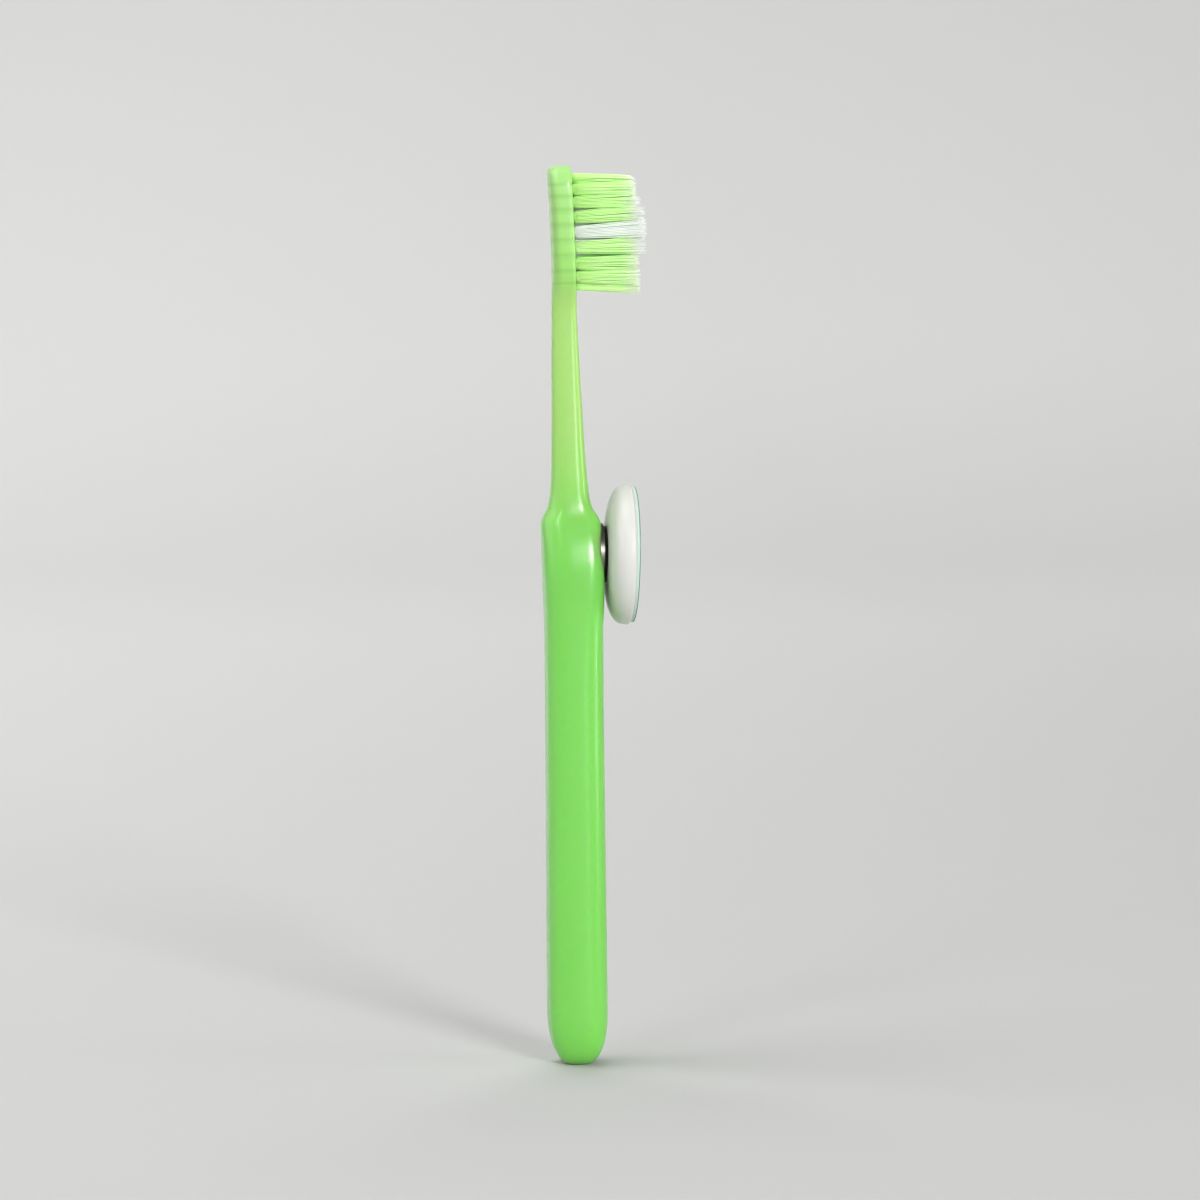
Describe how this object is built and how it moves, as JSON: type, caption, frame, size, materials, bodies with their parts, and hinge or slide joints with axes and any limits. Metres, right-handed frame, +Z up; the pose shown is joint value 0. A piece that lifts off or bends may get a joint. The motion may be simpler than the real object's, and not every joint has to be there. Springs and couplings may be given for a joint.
{
  "type": "manual toothbrush with magnetic wall puck",
  "caption": "Straight manual toothbrush with tufted bristles in two heights and a steel disc in its grip, held to a round magnetic wall puck with an adhesive back.",
  "frame": {"origin": "middle of the small flat on the butt that the brush stands on", "axes": "+Z up the brush to the head, +X the side with the bristles and the puck, +Y across the width"},
  "size_m": [0.0191, 0.025, 0.16],
  "materials": {
    "handle_plastic": "translucent, polished",
    "green_nylon": "fine translucent filaments",
    "white_nylon": "fine translucent filaments",
    "anchor_brass": "as stamped",
    "disc_steel": "plated",
    "magnet_black": "black coating",
    "keeper_steel": "zinc plated",
    "puck_plastic": "polished",
    "plate_plastic": "fine satin",
    "adhesive_foam": "soft foam",
    "film_plastic": "thin tinted film"
  },
  "bodies": {
    "brush": {"handle": "handle_plastic", "green_tufts_row_1": "green_nylon", "green_tufts_row_2": "green_nylon", "green_tufts_row_3": "green_nylon", "green_tufts_row_4": "green_nylon", "green_tufts_row_6": "green_nylon", "green_tufts_row_7": "green_nylon", "green_tufts_row_8": "green_nylon", "green_tufts_row_9": "green_nylon", "white_tufts_row_3": "white_nylon", "white_tufts_row_4": "white_nylon", "white_tufts_row_5": "white_nylon", "white_tufts_row_6": "white_nylon", "tuft_anchors": "anchor_brass", "handle_disc": "disc_steel"},
    "magnet": {"puck_magnet": "magnet_black", "magnet_keeper": "keeper_steel"},
    "puck": {"puck_shell": "puck_plastic", "puck_back_plate": "plate_plastic", "adhesive_pad": "adhesive_foam"},
    "film": {"release_film": "film_plastic"}
  },
  "joints": [
    {"name": "puck_pull", "type": "slide", "parent": "brush", "child": "magnet", "axis": [0.9997, 0, -0.0244], "range_m": [0, 0.025]},
    {"name": "puck_turn", "type": "hinge", "parent": "magnet", "child": "puck", "pos_m": [0.00528, 0, 0.0911], "axis": [0.9997, 0, -0.0244], "continuous": true},
    {"name": "film_peel", "type": "slide", "parent": "puck", "child": "film", "axis": [0.9997, 0, -0.0244], "range_m": [0, 0.02]}
  ]
}
